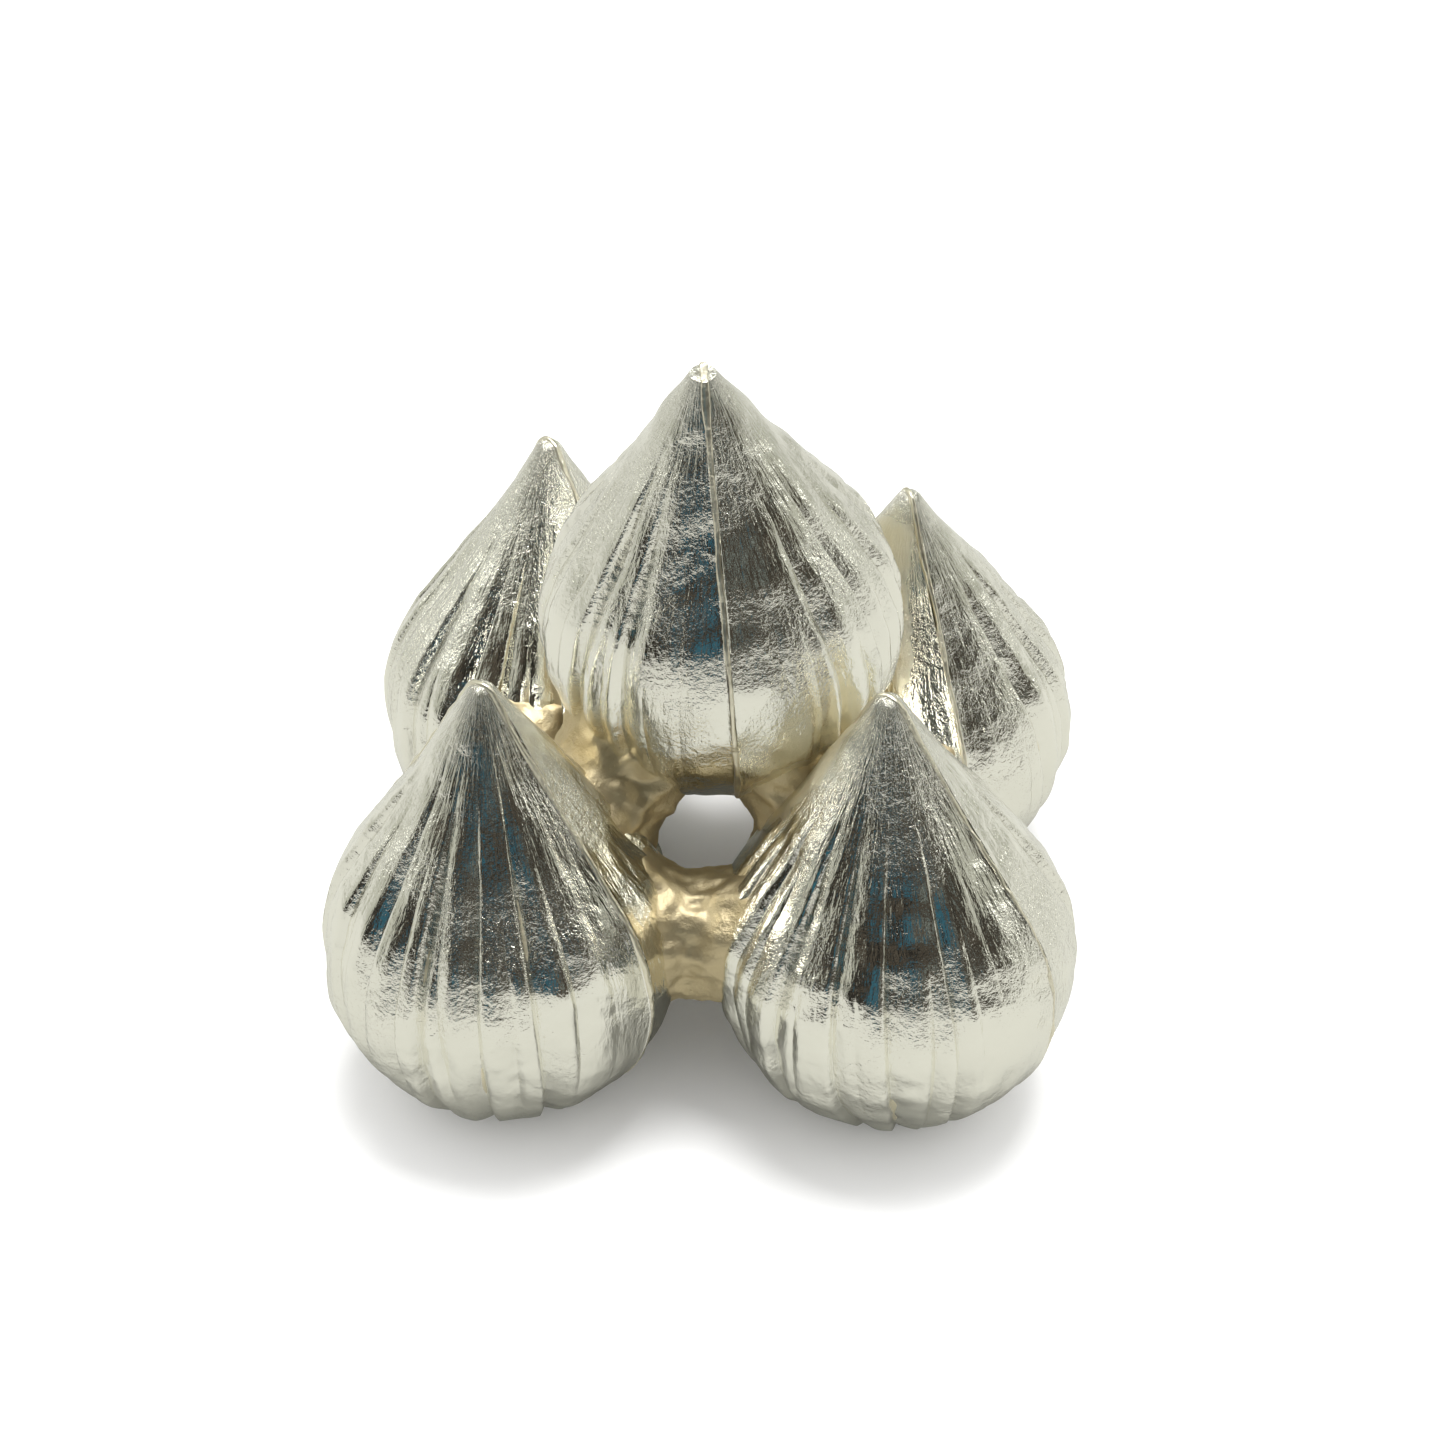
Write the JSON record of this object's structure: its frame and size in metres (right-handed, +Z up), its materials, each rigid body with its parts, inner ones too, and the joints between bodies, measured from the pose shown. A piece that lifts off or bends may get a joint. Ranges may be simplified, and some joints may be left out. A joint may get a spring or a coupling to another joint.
{
  "type": "votive_ornament",
  "caption": "Hollow silver votive ornament: pleated onion-shaped dumplings soldered in a square with one more seated on top, standing on filed feet.",
  "frame": {"origin": "on the resting plane, under the middle of the square of base modaks", "axes": "+Z up along the modaks' tips, +X to the right and -Y towards the viewer, along the sides of the square"},
  "size_m": [0.0376, 0.0378, 0.0373],
  "materials": {
    "silver": "polished sheet silver, slightly warm, fine scratches and a duller unpolished bloom in the recesses",
    "solder": "silver solder, pale yellow, satin, lumpy where it was drawn in between the bulbs"
  },
  "bodies": {
    "root": {"front_left_shell_a": "silver", "front_left_shell_b": "silver", "front_left_seam": "solder", "front_right_shell_a": "silver", "front_right_shell_b": "silver", "front_right_seam": "solder", "rear_left_shell_a": "silver", "rear_left_shell_b": "silver", "rear_left_seam": "solder", "rear_right_shell_a": "silver", "rear_right_shell_b": "silver", "rear_right_seam": "solder", "top_shell_a": "silver", "top_shell_b": "silver", "top_seam": "solder", "front_collar": "solder", "rear_collar": "solder", "left_collar": "solder", "right_collar": "solder", "seat_front_left": "solder", "seat_front_right": "solder", "seat_rear_left": "solder", "seat_rear_right": "solder"}
  },
  "joints": []
}
